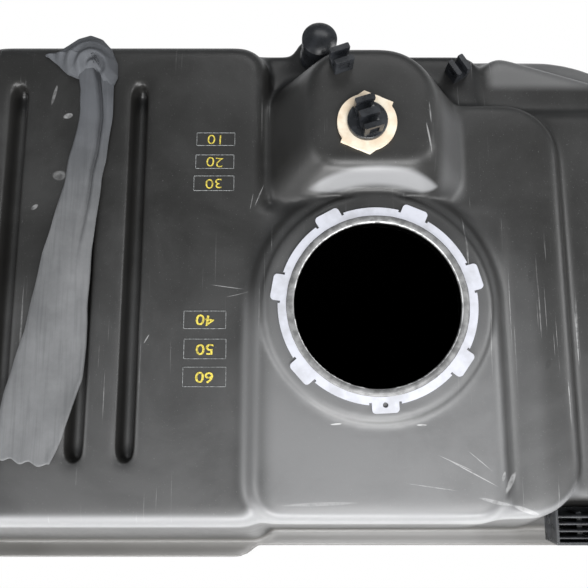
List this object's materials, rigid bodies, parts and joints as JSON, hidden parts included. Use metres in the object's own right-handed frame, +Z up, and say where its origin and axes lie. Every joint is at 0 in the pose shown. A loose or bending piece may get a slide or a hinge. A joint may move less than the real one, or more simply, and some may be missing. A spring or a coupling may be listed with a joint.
{
  "type": "car fuel tank",
  "caption": "Blow-moulded plastic car fuel tank with open pump neck and steel retaining ring, vent valve on a dome, pipe clips, filler inlet and a foam strip.",
  "frame": {"origin": "on the floor under the middle of the whole part", "axes": "+X along the tank's length towards the filler inlet, +Y towards the rear shelf behind the valve dome, +Z up"},
  "size_m": [0.72, 0.459, 0.2505],
  "materials": {
    "shell_plastic": "dusty satin with scratches",
    "ring_steel": "dull plated",
    "cream_plastic": "satin",
    "black_clip_plastic": "glossy",
    "pale_plastic": "satin",
    "spring_steel": "bright",
    "grey_foam": "matt, dusty and creased"
  },
  "bodies": {
    "tank": {"tank_shell": "shell_plastic", "pump_ring": "ring_steel", "valve_flange": "cream_plastic", "valve_housing": "black_clip_plastic", "valve_base": "black_clip_plastic", "valve_spring": "spring_steel", "valve_cap": "black_clip_plastic", "dome_pipe_clip": "black_clip_plastic", "shelf_pipe_clip": "black_clip_plastic", "stub_cap": "black_clip_plastic", "breather_nipple": "black_clip_plastic", "line_clip_frame": "black_clip_plastic", "line_clip": "black_clip_plastic", "filler_spigot": "shell_plastic", "flap_pin": "spring_steel", "flap_spring": "spring_steel", "foam_strip": "grey_foam"},
    "vent_float": {"valve_float": "pale_plastic"},
    "check_flap": {"inlet_flap": "pale_plastic"}
  },
  "joints": [
    {"name": "float_slide", "type": "slide", "parent": "tank", "child": "vent_float", "axis": [0, 0, 1], "range_m": [0, 0.005], "deforming": ["valve_spring"]},
    {"name": "flap_hinge", "type": "hinge", "parent": "tank", "child": "check_flap", "pos_m": [0.2785, 0.01, 0.1636], "axis": [0, 1, 0], "range_deg": [0, 70], "stiffness_Nm_per_rad": 0.02, "deforming": ["flap_spring"]}
  ]
}
